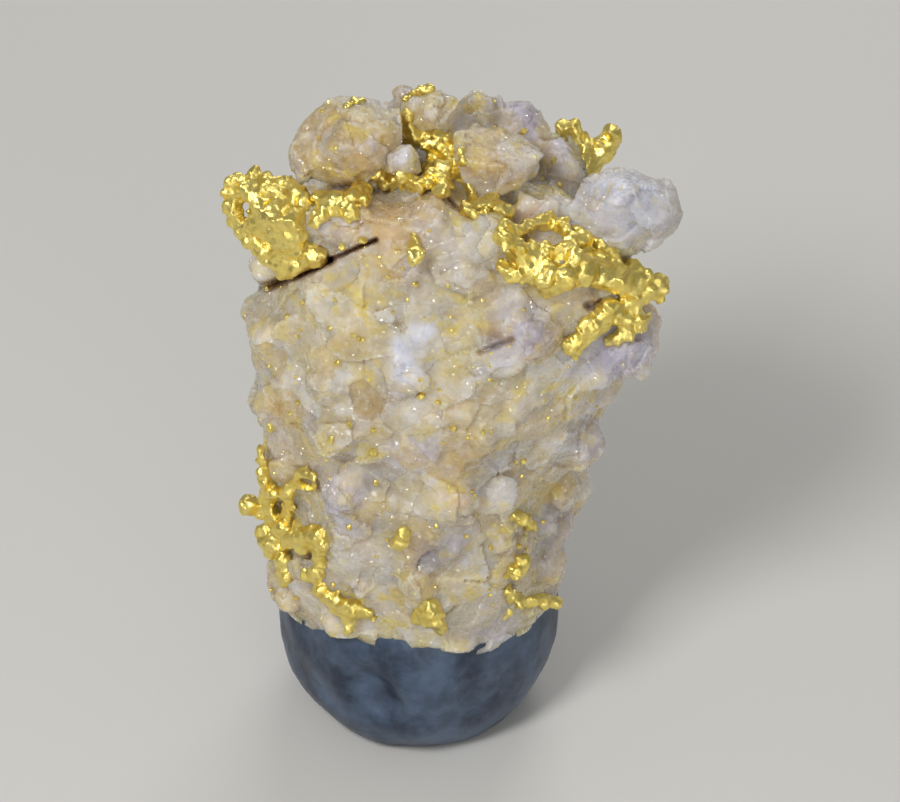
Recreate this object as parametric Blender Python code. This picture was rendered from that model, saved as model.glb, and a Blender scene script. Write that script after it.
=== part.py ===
"""Native gold in quartz: a broken piece of vein quartz with gold in its seams, stood on a foot of putty.

Metres, +Z up. The origin is the middle of the putty's flat underside, and the broad face looks along -Y.
The rock is many broken grains grown together, so it is one solid. Each mass of gold and the putty is a solid of its own.
"""

import math
import random

import bmesh
import bpy
from mathutils import Euler, Vector, noise
from mathutils.bvhtree import BVHTree

MM = 0.001

# Driving dimensions, in millimetres.
SPECIMEN_WIDTH = 20.8
PUTTY_RADIUS = 6.45
PUTTY_MIDDLE = 4.4
ROCK_LOWEST = 4.8
GAP = 0.3

# The drawing that places are read from: the broad side, seen from 40 degrees above the horizon, from 260 mm.
# It is 900 steps across and 802 down, and the rock and its gold take up 462 steps of its width.
DRAWING_WIDTH, DRAWING_HEIGHT = 900, 802
STEP = SPECIMEN_WIDTH / 462
VIEW_RISE = math.radians(40)
VIEW_DISTANCE = 260
VIEW_MIDDLE = Vector((1.5, 0, 17.0))
TOWARDS_EYE = Vector((0, -math.cos(VIEW_RISE), math.sin(VIEW_RISE)))
UP_THE_DRAWING = Vector((0, math.sin(VIEW_RISE), math.cos(VIEW_RISE)))
EYE = VIEW_MIDDLE + VIEW_DISTANCE * TOWARDS_EYE


def sight(across, down):
    """The direction from the eye through a place on the drawing."""
    right = (across - DRAWING_WIDTH / 2) * STEP
    up = (DRAWING_HEIGHT / 2 - down) * STEP
    on_drawing = VIEW_MIDDLE + Vector((right, 0, 0)) + up * UP_THE_DRAWING
    return (on_drawing - EYE).normalized()


def seen(across, down, back):
    """The point in millimetres that the drawing shows at a place, lying this far back along +Y."""
    ray = sight(across, down)
    return EYE + ray * ((back - EYE.y) / ray.y)


# The rock's two great blocks: corners that the drawing shows, as (across, down, back), and hidden ones in millimetres.
UPPER_BLOCK_SEEN = [
    (243, 335, -1.5), (253, 312, 0.0), (266, 302, 1.5), (251, 392, -1.5), (260, 450, -1.0),
    (300, 276, -3.0), (350, 242, -3.4), (400, 218, -3.5), (455, 212, -3.3), (520, 230, -3.4),
    (590, 266, -3.5), (636, 300, -2.5), (646, 352, -1.5), (616, 392, -1.5), (600, 430, -1.2),
    (330, 330, -5.0), (420, 290, -4.8), (520, 310, -5.0), (590, 350, -4.4), (330, 430, -5.9),
    (430, 400, -6.2), (520, 420, -5.9), (572, 440, -3.8), (273, 500, -3.6), (430, 500, -6.4),
    (556, 490, -3.2),
]
UPPER_BLOCK_HIDDEN = [
    (-6.4, 4.4, 25.5), (-2.5, 6.0, 28.0), (3.0, 6.2, 27.5), (7.2, 5.0, 26.0), (7.8, 3.6, 21.0),
    (-7.0, 3.8, 19.0), (5.6, 5.2, 14.0), (-5.4, 4.8, 13.0), (0.5, 6.4, 17.0),
]
LOWER_BLOCK_SEEN = [
    (263, 450, -0.5), (270, 545, -1.5), (270, 580, -1.6), (279, 600, -1.8), (304, 618, -3.0),
    (346, 640, -4.8), (374, 647, -5.3), (425, 651, -5.6), (447, 656, -5.6), (489, 643, -4.8),
    (525, 624, -3.4), (551, 594, -1.8), (560, 572, -1.2), (564, 515, -0.5), (582, 468, 0.2),
    (335, 560, -6.0), (420, 600, -6.3), (500, 590, -5.6), (430, 520, -6.4), (330, 490, -6.0),
    (515, 500, -5.0),
]
LOWER_BLOCK_HIDDEN = [
    (-2.8, 2.8, ROCK_LOWEST), (2.8, 2.8, ROCK_LOWEST + 0.1), (-2.6, -2.4, ROCK_LOWEST + 0.1),
    (2.6, -2.6, ROCK_LOWEST + 0.2), (-4.9, 2.6, 6.2), (4.9, 2.6, 6.3), (-3.4, 4.8, 6.4), (3.4, 4.8, 6.5),
    (5.0, 4.6, 9.5), (-5.4, 4.4, 9.5), (5.4, 4.6, 15.0), (-5.8, 4.6, 16.0), (0.0, 5.8, 12.0),
]

# Grains that stand out and shape the outline: name, across, down, back, the three half sizes in mm, turn in degrees.
STANDING_GRAINS = [
    ("crown left", 347, 146, 0.8, (2.5, 2.1, 2.05), 10),
    ("crown left end", 308, 155, 0.6, (1.0, 1.1, 1.4), -20),
    ("crown middle", 430, 113, 2.3, (1.65, 1.45, 1.4), 25),
    ("crown middle back", 403, 102, 3.6, (0.9, 1.1, 0.75), 0),
    ("crown right", 490, 162, 0.4, (1.85, 1.6, 1.6), 15),
    ("crown right point", 522, 160, 0.3, (0.95, 0.9, 1.2), 40),
    ("white tooth", 404, 160, -1.2, (0.85, 0.7, 0.95), 10),
    ("back left", 477, 113, 4.6, (1.15, 1.2, 1.2), 30),
    ("back middle", 520, 128, 4.6, (1.45, 1.4, 1.5), -15),
    ("back right", 560, 172, 2.8, (1.35, 1.4, 1.9), 20),
    ("saddle", 545, 214, 0.2, (2.1, 1.8, 1.4), 0),
    ("saddle crystal one", 527, 204, -1.4, (0.55, 0.5, 0.6), 20),
    ("saddle crystal two", 549, 206, -1.4, (0.6, 0.5, 0.55), 50),
    ("pale lump", 620, 208, -0.4, (2.4, 1.9, 1.95), -12),
    ("pale lump end", 656, 208, -0.2, (1.4, 1.5, 1.6), 20),
    ("pale lump root", 606, 236, -0.6, (1.8, 1.6, 1.5), 0),
    ("left shelf", 350, 216, -2.0, (2.7, 1.5, 1.15), 8),
    ("left shelf end", 292, 234, -0.8, (1.5, 1.4, 1.3), 0),
    ("under the nugget", 266, 266, -0.4, (0.9, 0.9, 1.05), 30),
    ("brow", 410, 230, -3.0, (2.9, 1.6, 1.2), -6),
    ("brow right", 478, 238, -3.3, (2.1, 1.4, 1.4), 12),
    ("right bulge", 624, 347, -2.6, (1.8, 1.8, 1.75), 15),
    ("right bulge top", 638, 322, -1.6, (1.2, 1.4, 1.4), 0),
    ("right bulge foot", 596, 364, -3.2, (1.5, 1.4, 1.35), 30),
    ("lit crystal", 532, 338, -5.0, (1.45, 0.95, 1.15), 12),
    ("lit crystal neighbour", 505, 362, -5.4, (1.0, 0.8, 0.9), 35),
    ("right flank", 580, 440, -2.0, (1.2, 1.4, 1.6), -10),
    ("right flank lower", 560, 486, -1.2, (1.0, 1.3, 1.3), 15),
    ("right side low", 556, 525, -1.0, (0.85, 1.3, 1.3), 35),
    ("right foot", 546, 560, -1.8, (1.1, 1.3, 1.3), 10),
    ("right foot low", 524, 602, -3.0, (1.2, 1.2, 1.0), -15),
    ("middle lump", 452, 500, -5.8, (1.5, 0.9, 1.2), 20),
    ("left toe", 290, 588, -2.6, (1.2, 1.4, 1.1), 5),
    ("bottom toe", 345, 622, -4.8, (1.4, 1.0, 0.8), 20),
    ("chin", 452, 638, -5.2, (1.8, 1.0, 0.65), -8),
    ("left shoulder", 266, 332, -1.8, (1.1, 1.5, 1.4), 0),
    ("pale patch", 335, 384, -4.9, (1.35, 0.8, 1.1), 15),
    ("bright crystal", 404, 360, -5.3, (0.9, 0.7, 0.85), 40),
]

# Grains on the side that the drawing does not show: name, middle in mm, the three half sizes in mm, turn in degrees.
HIDDEN_GRAINS = [
    ("crown at the back", (-2.0, 4.2, 29.0), (2.2, 1.8, 1.8), 10),
    ("root of the crown", (0.6, 2.4, 29.4), (3.6, 2.2, 2.1), 0),
    ("shoulder at the back", (6.0, 4.0, 25.0), (2.1, 2.0, 1.9), -20),
    ("upper back", (-4.2, 4.8, 21.5), (2.6, 1.7, 2.6), 15),
    ("middle of the back", (2.4, 5.4, 15.0), (2.6, 1.5, 2.4), 30),
    ("foot of the back", (-2.6, 4.2, 9.5), (2.2, 1.4, 1.9), 0),
]
GRAIN_CORNERS = 16

# Small grains lie evenly over the blocks, which are this much smaller to leave room for them. Sizes are in mm.
BLOCK_INSET = 0.25
SMALL_GRAINS = 230
SMALL_GRAIN_SIZE = (1.05, 1.9)
SMALL_GRAIN_SUNK = 0.62
SMALL_GRAIN_CORNERS = 13
GRAIN_SEED = 7
GOLDEN_ANGLE = math.pi * (3 - math.sqrt(5))
ROCK_AXIS = Vector((1, 0, 17))
ROCK_TRIANGLES = 4300

# The open crack under the left shelf, along the drawing: (across, down) and its opening in mm, 3 mm before the rock.
# It closes at its tip, which lies this far back.
CRACK = [(248, 292, 0.9), (284, 276, 1.0), (330, 258, 0.9), (376, 240, 0.4)]
CRACK_FRONT = -6.5
CRACK_TIP = -0.6

# Gold, as strands of beads: (across, down, radius in mm). A bead lies on the rock where the drawing shows it, unless
# a fourth number says how far back it is. Each strand after the first meets one before it.
GOLD = {
    "gold_left_nugget": [
        [(284, 228, 1.05, -1.9), (278, 213, 0.9, -1.7), (297, 224, 0.8, -1.9), (290, 242, 0.8, -1.9)],
        [(278, 213, 0.8, -1.7), (264, 206, 0.7, -1.4), (255, 193, 0.6, -1.0), (245, 190, 0.48, -0.6),
         (236, 198, 0.4, -0.6), (235, 210, 0.4, -0.8), (239, 223, 0.4, -1.0), (246, 234, 0.4, -1.2),
         (256, 242, 0.48, -1.4), (267, 250, 0.5, -1.6), (276, 260, 0.5, -1.9), (288, 264, 0.48, -2.2),
         (301, 262, 0.46, -2.4), (315, 254, 0.55, -2.5)],
        [(255, 193, 0.6, -1.0), (256, 182, 0.4, -0.6), (266, 183, 0.45, -0.8), (278, 189, 0.45, -0.8),
         (289, 187, 0.42, -0.9), (297, 195, 0.48, -1.2), (305, 206, 0.5, -1.8), (300, 220, 0.6, -2.0)],
        [(262, 222, 0.65, -1.6), (284, 228, 0.9, -1.9)],
        [(290, 242, 0.8, -1.9), (284, 256, 0.6, -2.1), (286, 268, 0.5, -2.2)],
        [(290, 242, 0.8, -1.9), (304, 250, 0.55, -2.3), (315, 256, 0.55, -2.5)],
    ],
    "gold_left_seam": [
        [(320, 216, 0.45), (326, 204, 0.5), (338, 206, 0.52), (348, 200, 0.52), (360, 192, 0.52), (364, 202, 0.4)],
        [(338, 206, 0.45), (348, 214, 0.42)],
        [(326, 204, 0.45), (322, 194, 0.35)],
    ],
    "gold_centre_seam": [
        [(380, 174, 0.45), (389, 179, 0.58), (399, 174, 0.45), (408, 180, 0.45), (417, 186, 0.42), (430, 180, 0.35),
         (441, 174, 0.55), (449, 170, 0.42), (447, 156, 0.45), (444, 142, 0.48), (433, 142, 0.48), (422, 138, 0.4),
         (412, 132, 0.6), (407, 121, 0.38), (406, 114, 0.26)],
        [(447, 156, 0.4), (456, 150, 0.34), (463, 158, 0.34), (464, 167, 0.3), (456, 175, 0.36), (449, 170, 0.4)],
        [(430, 180, 0.35), (430, 168, 0.4), (432, 160, 0.3)],
        [(441, 174, 0.5), (441, 191, 0.45)],
        [(456, 175, 0.34), (467, 184, 0.3), (471, 196, 0.3), (478, 205, 0.38), (491, 202, 0.5), (500, 211, 0.42),
         (508, 214, 0.32)],
        [(478, 205, 0.34), (466, 209, 0.3)],
    ],
    "gold_right_sheet": [
        [(500, 265, 0.3), (509, 275, 0.36), (523, 277, 0.42), (535, 268, 0.66), (554, 280, 0.72), (570, 272, 0.66),
         (584, 271, 0.68), (597, 270, 0.72), (611, 276, 0.78), (622, 280, 0.8), (633, 288, 0.75),
         (646, 288, 0.6, -2.6), (659, 284, 0.5, -2.4), (658, 296, 0.4, -2.4)],
        [(535, 268, 0.5), (525, 254, 0.42), (510, 243, 0.38), (500, 235, 0.36), (505, 226, 0.34), (518, 233, 0.34),
         (528, 226, 0.3), (540, 222, 0.34), (552, 223, 0.36), (564, 229, 0.36), (572, 238, 0.36), (586, 243, 0.4),
         (598, 250, 0.46), (606, 262, 0.55), (611, 276, 0.6)],
        [(525, 254, 0.4), (545, 250, 0.4), (560, 252, 0.4), (576, 256, 0.44), (584, 271, 0.5)],
        [(606, 262, 0.5), (620, 262, 0.42), (634, 268, 0.4), (640, 276, 0.45, -2.6), (646, 288, 0.5, -2.6)],
        [(554, 280, 0.5), (546, 291, 0.36)],
        [(633, 288, 0.6), (628, 302, 0.62), (615, 312, 0.62), (600, 320, 0.55), (591, 330, 0.5), (582, 341, 0.36),
         (572, 349, 0.38)],
        [(628, 302, 0.55), (633, 318, 0.55), (626, 332, 0.46), (612, 340, 0.32)],
        [(633, 318, 0.5), (642, 324, 0.34), (648, 317, 0.22)],
        [(572, 349, 0.3), (568, 340, 0.22)],
    ],
    "gold_back_branch": [
        [(565, 129, 0.42, 4.6), (575, 128, 0.42, 4.6), (578, 141, 0.42, 4.4), (584, 154, 0.5, 4.0),
         (590, 166, 0.5, 3.6), (586, 178, 0.4, 3.0)],
        [(584, 154, 0.45, 4.0), (597, 156, 0.48, 4.0), (607, 147, 0.48, 4.2), (613, 134, 0.45, 4.4)],
        [(597, 156, 0.4, 4.0), (590, 166, 0.5, 3.6)],
        [(578, 160, 0.42, 3.9), (590, 166, 0.5, 3.6)],
    ],
    "gold_drop": [[(414, 236, 0.16), (415, 245, 0.24), (415, 256, 0.42)]],
    "gold_lower_left_cluster": [
        [(259, 447, 0.22), (262, 460, 0.26), (265, 476, 0.36), (266, 488, 0.34), (269, 502, 0.38), (274, 516, 0.42),
         (283, 528, 0.58), (294, 538, 0.5), (305, 541, 0.6), (315, 532, 0.42), (323, 542, 0.42), (320, 558, 0.38),
         (318, 573, 0.5), (320, 586, 0.5), (327, 596, 0.42), (341, 605, 0.55), (354, 608, 0.5), (366, 612, 0.34),
         (374, 618, 0.22)],
        [(269, 502, 0.34), (259, 508, 0.36), (249, 505, 0.5)],
        [(269, 502, 0.34), (276, 490, 0.3), (289, 492, 0.34), (289, 506, 0.32), (283, 528, 0.5)],
        [(274, 516, 0.38), (265, 532, 0.36), (272, 545, 0.4), (283, 548, 0.36), (294, 538, 0.46)],
        [(272, 545, 0.36), (281, 558, 0.4), (288, 571, 0.52), (288, 581, 0.36)],
        [(318, 573, 0.46), (309, 572, 0.42)],
        [(341, 605, 0.46), (348, 618, 0.42), (349, 627, 0.3)],
        [(289, 492, 0.28), (296, 481, 0.22), (298, 473, 0.2), (306, 470, 0.22), (314, 478, 0.22), (315, 487, 0.22),
         (306, 489, 0.2), (296, 481, 0.2)],
    ],
    "gold_lower_middle_grain": [[(405, 535, 0.36), (398, 543, 0.36)]],
    "gold_bottom_knob": [[(424, 608, 0.42), (432, 615, 0.6), (441, 628, 0.34)], [(424, 608, 0.42), (420, 617, 0.4)]],
    "gold_right_spur": [
        [(508, 591, 0.24), (517, 599, 0.42), (528, 600, 0.36), (538, 598, 0.36), (548, 601, 0.32, -2.9),
         (556, 602, 0.36, -2.7)],
        [(517, 599, 0.3), (509, 613, 0.2)],
    ],
    "gold_right_pair": [[(524, 561, 0.36), (517, 571, 0.38), (509, 574, 0.28)]],
    "gold_right_cluster": [[(515, 516, 0.3), (523, 520, 0.38), (531, 526, 0.28)]],
    "gold_left_crest": [[(344, 105, 0.26, 1.6), (352, 104, 0.28, 1.7), (360, 103, 0.25, 1.9), (368, 103, 0.2, 1.9)]],
    "gold_middle_crest": [[(404, 100, 0.2, 3.2), (412, 96, 0.24, 2.9), (420, 93, 0.24, 2.7), (428, 91, 0.26, 2.5)]],
}
BEAD_LIFT = 0.3
BEAD_SPACING = 0.7
STRAND_WAIST = 0.22
GOLD_DENTS = 0.1
GOLD_GRID = 0.09
GOLD_TRIANGLES_PER_MM2 = 8.0
SOCKET_GRID = 0.16
SOCKET_TRIANGLES_PER_MM2 = 2.4

# The putty: a ball with its middle this high, cut off flat where it stands, and the seat that the rock presses in it.
PUTTY_RINGS = 9
PUTTY_SIDES = 28
PUTTY_DENTS = 0.03
SEAT_GRID = 0.45
SEAT_TRIANGLES_PER_MM2 = 1.2

# Colours of the finish, linear.
QUARTZ_COLOUR = (0.52, 0.46, 0.38, 1)
GOLD_COLOUR = (0.85, 0.55, 0.10, 1)
PUTTY_COLOUR = (0.06, 0.075, 0.095, 1)


def clear_scene():
    for obj in list(bpy.data.objects):
        bpy.data.objects.remove(obj, do_unlink=True)


def finish_material(name, colour, roughness, metallic):
    material = bpy.data.materials.new(name)
    material.use_nodes = True
    shader = material.node_tree.nodes["Principled BSDF"]
    shader.inputs["Base Color"].default_value = colour
    shader.inputs["Roughness"].default_value = roughness
    shader.inputs["Metallic"].default_value = metallic
    material.diffuse_color = colour
    return material


def add_object(name, mesh):
    obj = bpy.data.objects.new(name, mesh)
    bpy.context.scene.collection.objects.link(obj)
    return obj


def evaluated_copy(obj):
    """The mesh that an object's modifiers make of it."""
    bpy.context.view_layer.update()
    graph = bpy.context.evaluated_depsgraph_get()
    return bpy.data.meshes.new_from_object(obj.evaluated_get(graph))


def hull_mesh(name, points):
    """A closed, flat-faced solid round these points, given in millimetres."""
    shape = bmesh.new()
    for point in points:
        shape.verts.new(Vector(point) * MM)
    made = bmesh.ops.convex_hull(shape, input=shape.verts)
    inside = list({v for v in made["geom_interior"] + made["geom_unused"] if isinstance(v, bmesh.types.BMVert)})
    bmesh.ops.delete(shape, geom=inside, context="VERTS")
    bmesh.ops.recalc_face_normals(shape, faces=shape.faces)
    mesh = bpy.data.meshes.new(name)
    shape.to_mesh(mesh)
    shape.free()
    return mesh


def grain_mesh(name, centre, half_sizes, turn, corners, chance):
    """A broken grain: the hull of corners spread evenly over an ellipsoid and then pushed about."""
    rotation = Euler((math.radians(turn), math.radians(turn / 2), math.radians(turn)))
    points = []
    for i in range(corners):
        height = 1 - (2 * i + 1) / corners
        ring = math.sqrt(1 - height * height)
        angle = i * GOLDEN_ANGLE + chance.uniform(-0.5, 0.5)
        spot = Vector((ring * math.cos(angle), ring * math.sin(angle), height + chance.uniform(-0.12, 0.12)))
        spot *= chance.uniform(0.92, 1.07)
        spot.rotate(rotation)
        points.append(Vector(centre) + Vector([s * h for s, h in zip(spot, half_sizes)]))
    return hull_mesh(name, points)


def apply_modifiers(obj):
    obj.data = evaluated_copy(obj)
    obj.modifiers.clear()


def joined(base, meshes, operation="UNION"):
    """Joins all these meshes to a solid, or cuts them from it, in one Boolean."""
    helpers = bpy.data.collections.new("helpers")
    bpy.context.scene.collection.children.link(helpers)
    for mesh in meshes:
        helper = bpy.data.objects.new("helper", mesh)
        helper.hide_render = True
        helper.display_type = "WIRE"
        helpers.objects.link(helper)
    modifier = base.modifiers.new("boolean", "BOOLEAN")
    modifier.operation = operation
    modifier.solver = "EXACT"
    modifier.operand_type = "COLLECTION"
    modifier.collection = helpers
    apply_modifiers(base)
    for helper in list(helpers.objects):
        bpy.data.objects.remove(helper)
    bpy.data.collections.remove(helpers)


def thinned(obj, triangles):
    """Leaves about this many triangles, where the shape needs them most."""
    obj.data.calc_loop_triangles()
    thin = obj.modifiers.new("thin", "DECIMATE")
    thin.ratio = min(1, triangles / len(obj.data.loop_triangles))
    apply_modifiers(obj)


def melted(obj, grid):
    """Runs all the shapes in an object together into one skin, on a grid of this many millimetres."""
    melt = obj.modifiers.new("melt", "REMESH")
    melt.mode = "VOXEL"
    melt.voxel_size = grid * MM
    apply_modifiers(obj)


def surface_area(obj):
    """In square millimetres."""
    return sum(polygon.area for polygon in obj.data.polygons) / MM**2


def keep_largest(obj):
    """Deletes every loose piece but the one with the most corners."""
    shape = bmesh.new()
    shape.from_mesh(obj.data)
    left = set(shape.verts)
    pieces = []
    while left:
        start = left.pop()
        piece, edge = {start}, [start]
        while edge:
            for link in edge.pop().link_edges:
                for vert in link.verts:
                    if vert in left:
                        left.discard(vert)
                        piece.add(vert)
                        edge.append(vert)
        pieces.append(piece)
    pieces.sort(key=len)
    loose = [vert for piece in pieces[:-1] for vert in piece]
    bmesh.ops.delete(shape, geom=loose, context="VERTS")
    shape.to_mesh(obj.data)
    shape.free()


def standing_grains(chance):
    meshes = []
    for name, across, down, back, half_sizes, turn in STANDING_GRAINS:
        meshes.append(grain_mesh(name, seen(across, down, back), half_sizes, turn, GRAIN_CORNERS, chance))
    for name, centre, half_sizes, turn in HIDDEN_GRAINS:
        meshes.append(grain_mesh(name, centre, half_sizes, turn, GRAIN_CORNERS, chance))
    return meshes


def small_grains(block_meshes, chance):
    """Broken grains that stand out of the great blocks all round, sunk most of the way into them."""
    trees = [tree_of(mesh) for mesh in block_meshes]
    meshes = []
    for i in range(SMALL_GRAINS):
        height = 1 - (2 * i + 1) / SMALL_GRAINS
        ring = math.sqrt(1 - height * height)
        angle = i * GOLDEN_ANGLE + chance.uniform(-0.3, 0.3)
        outward = Vector((ring * math.cos(angle), ring * math.sin(angle), height))
        inner = ROCK_AXIS + Vector((0, 0, height * 9 + chance.uniform(-0.8, 0.8)))
        outside = (inner + outward * 30) * MM
        hits = [tree.ray_cast(outside, -outward) for tree in trees]
        hits = [hit for hit in hits if hit[0] is not None]
        size = chance.uniform(*SMALL_GRAIN_SIZE)
        half_sizes = [size * chance.uniform(0.75, 1.2) for _ in range(3)]
        turn = chance.uniform(0, 90)
        if not hits:
            continue
        spot, normal = min(hits, key=lambda hit: hit[3])[:2]
        centre = spot / MM - normal * size * SMALL_GRAIN_SUNK
        if centre.z > ROCK_LOWEST + SMALL_GRAIN_SIZE[1]:
            meshes.append(grain_mesh("small grain", centre, half_sizes, turn, SMALL_GRAIN_CORNERS, chance))
    return meshes


def crack_mesh():
    """A thin wedge along the crack, which narrows as it goes in."""
    shape = bmesh.new()
    rows = []
    for across, down, opening in CRACK:
        front = seen(across, down, CRACK_FRONT)
        lip = opening / 2 * UP_THE_DRAWING
        corners = (front + lip, front - lip, seen(across, down, CRACK_TIP))
        rows.append([shape.verts.new(corner * MM) for corner in corners])
    for first, second in zip(rows, rows[1:]):
        for i in range(3):
            j = (i + 1) % 3
            shape.faces.new((first[i], first[j], second[j], second[i]))
    shape.faces.new(rows[0])
    shape.faces.new(rows[-1])
    bmesh.ops.recalc_face_normals(shape, faces=shape.faces)
    mesh = bpy.data.meshes.new("crack")
    shape.to_mesh(mesh)
    shape.free()
    return mesh


def tree_of(mesh):
    return BVHTree.FromPolygons([v.co for v in mesh.vertices], [p.vertices for p in mesh.polygons])


def block_mesh(name, seen_corners, hidden_corners):
    """A great block, a little smaller than its corners say, because small grains cover it."""
    corners = [seen(*corner) for corner in seen_corners] + [Vector(corner) for corner in hidden_corners]
    points = []
    for corner in corners:
        inward = (ROCK_AXIS - corner) * Vector((1, 1, 0))
        inward.normalize()
        points.append(corner + inward * BLOCK_INSET)
    return hull_mesh(name, points)


def make_quartz():
    chance = random.Random(GRAIN_SEED)
    blocks = [
        block_mesh("upper block", UPPER_BLOCK_SEEN, UPPER_BLOCK_HIDDEN),
        block_mesh("lower block", LOWER_BLOCK_SEEN, LOWER_BLOCK_HIDDEN),
    ]
    grains = standing_grains(chance) + small_grains(blocks, chance)
    quartz = add_object("quartz", blocks[0])
    joined(quartz, [blocks[1]] + grains)
    keep_largest(quartz)
    thinned(quartz, ROCK_TRIANGLES)
    joined(quartz, [crack_mesh()], "DIFFERENCE")
    keep_largest(quartz)
    return quartz


def bead_place(tree, bead):
    """The centre of a bead in millimetres: at its own depth, or on the rock that the drawing shows there, if any."""
    if len(bead) == 4:
        return seen(bead[0], bead[1], bead[3])
    ray = sight(bead[0], bead[1])
    spot = tree.ray_cast(EYE * MM, ray)[0]
    return None if spot is None else spot / MM - ray * bead[2] * BEAD_LIFT


def mass_beads(tree, strands):
    """Every bead of a mass, and more between them so that each overlaps the next, as (place in mm, radius in mm).

    A bead that hangs past the rock's edge lies as far back as the nearest one that does not.
    """
    found = {bead[:2]: bead_place(tree, bead) for strand in strands for bead in strand}
    held = [spot for spot, place in found.items() if place is not None]
    for spot, place in found.items():
        if place is None:
            near = min(held, key=lambda other: math.dist(spot, other))
            found[spot] = seen(*spot, found[near].y)
    beads = []
    for strand in strands:
        beads.append((found[strand[0][:2]], strand[0][2]))
        for start, end in zip(strand, strand[1:]):
            here, there = found[start[:2]], found[end[:2]]
            steps = max(1, math.ceil((there - here).length / (BEAD_SPACING * min(start[2], end[2]))))
            for i in range(1, steps + 1):
                part = i / steps
                waist = 1 - STRAND_WAIST * math.sin(math.pi * part)
                beads.append((here.lerp(there, part), (start[2] + (end[2] - start[2]) * part) * waist))
    return beads


def bead_object(name, strands, tree, extra):
    """All the beads of a mass as loose balls, each larger by extra millimetres."""
    shape = bmesh.new()
    for place, radius in mass_beads(tree, strands):
        made = bmesh.ops.create_icosphere(shape, subdivisions=2, radius=(radius + extra) * MM)
        bmesh.ops.translate(shape, verts=made["verts"], vec=place * MM)
    mesh = bpy.data.meshes.new(name)
    shape.to_mesh(mesh)
    shape.free()
    return add_object(name, mesh)


def make_gold(name, strands, tree):
    """Beads run together into one lumpy mass."""
    gold = bead_object(name, strands, tree, 0)
    melted(gold, GOLD_GRID)
    for vert in gold.data.vertices:
        vert.co += vert.normal * noise.noise(vert.co / MM * 1.7) * GOLD_DENTS * MM
    thinned(gold, surface_area(gold) * GOLD_TRIANGLES_PER_MM2)
    keep_largest(gold)
    return gold


def gold_socket(name, strands, tree):
    """The hole that a mass of gold fills in the quartz: the same beads, larger by the gap."""
    socket = bead_object(name + " socket", strands, tree, GAP)
    melted(socket, SOCKET_GRID)
    thinned(socket, surface_area(socket) * SOCKET_TRIANGLES_PER_MM2)
    keep_largest(socket)
    mesh = socket.data
    bpy.data.objects.remove(socket)
    return mesh


def quartz_seat(quartz):
    """The dent that the quartz presses in the putty: the quartz itself, larger by the gap."""
    seat = add_object("seat", quartz.data.copy())
    melted(seat, SEAT_GRID)
    grow = seat.modifiers.new("grow", "DISPLACE")
    grow.strength = (GAP + 0.1) * MM
    grow.mid_level = 0
    apply_modifiers(seat)
    melted(seat, SEAT_GRID)
    thinned(seat, surface_area(seat) * SEAT_TRIANGLES_PER_MM2)
    mesh = seat.data
    bpy.data.objects.remove(seat)
    return mesh


def make_putty():
    """A ball of putty that stands on a flat of its own and is pressed in a little here and there."""
    foot_angle = -math.asin(PUTTY_MIDDLE / PUTTY_RADIUS)
    shape = bmesh.new()
    rows = []
    for i in range(PUTTY_RINGS):
        angle = foot_angle + (math.pi / 2 - foot_angle) * i / PUTTY_RINGS
        row = []
        for k in range(PUTTY_SIDES):
            turn = 2 * math.pi * k / PUTTY_SIDES
            out = Vector((math.cos(turn) * math.cos(angle), math.sin(turn) * math.cos(angle), math.sin(angle)))
            spot = out * PUTTY_RADIUS * (1 + PUTTY_DENTS * noise.noise(out * 1.7))
            spot.z = 0 if i == 0 else max(spot.z + PUTTY_MIDDLE, 0.2)
            row.append(shape.verts.new(spot * MM))
        rows.append(row)
    top = shape.verts.new((0, 0, (PUTTY_MIDDLE + PUTTY_RADIUS) * MM))
    for low, high in zip(rows, rows[1:]):
        for k in range(PUTTY_SIDES):
            j = (k + 1) % PUTTY_SIDES
            shape.faces.new((low[k], low[j], high[j], high[k]))
    for k in range(PUTTY_SIDES):
        shape.faces.new((rows[-1][k], rows[-1][(k + 1) % PUTTY_SIDES], top))
    shape.faces.new(rows[0][::-1])
    mesh = bpy.data.meshes.new("putty_foot")
    shape.to_mesh(mesh)
    shape.free()
    return add_object("putty_foot", mesh)


def main():
    clear_scene()
    quartz = make_quartz()
    tree = tree_of(quartz.data)
    gold = [make_gold(name, strands, tree) for name, strands in GOLD.items()]
    joined(quartz, [gold_socket(name, strands, tree) for name, strands in GOLD.items()], "DIFFERENCE")
    keep_largest(quartz)
    putty = make_putty()
    joined(putty, [quartz_seat(quartz)], "DIFFERENCE")
    keep_largest(putty)
    finishes = {
        "milky quartz": ([quartz], QUARTZ_COLOUR, 0.45, 0),
        "native gold": (gold, GOLD_COLOUR, 0.3, 1),
        "grey putty": ([putty], PUTTY_COLOUR, 0.6, 0),
    }
    for name, (pieces, colour, roughness, metallic) in finishes.items():
        material = finish_material(name, colour, roughness, metallic)
        for piece in pieces:
            piece.data.materials.clear()
            piece.data.materials.append(material)


main()
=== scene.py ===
# %% [markdown]
# # Gold in quartz
# A broken piece of milky vein quartz with native gold in its seams, pressed into a ball of mineral putty.
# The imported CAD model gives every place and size. It is loaded first, and nothing in it is moved.

# %% Load the fixed frame
import math
import random

import bpy
import numpy as np
from mathutils import Euler, Matrix, Vector, noise
from mathutils.bvhtree import BVHTree


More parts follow.
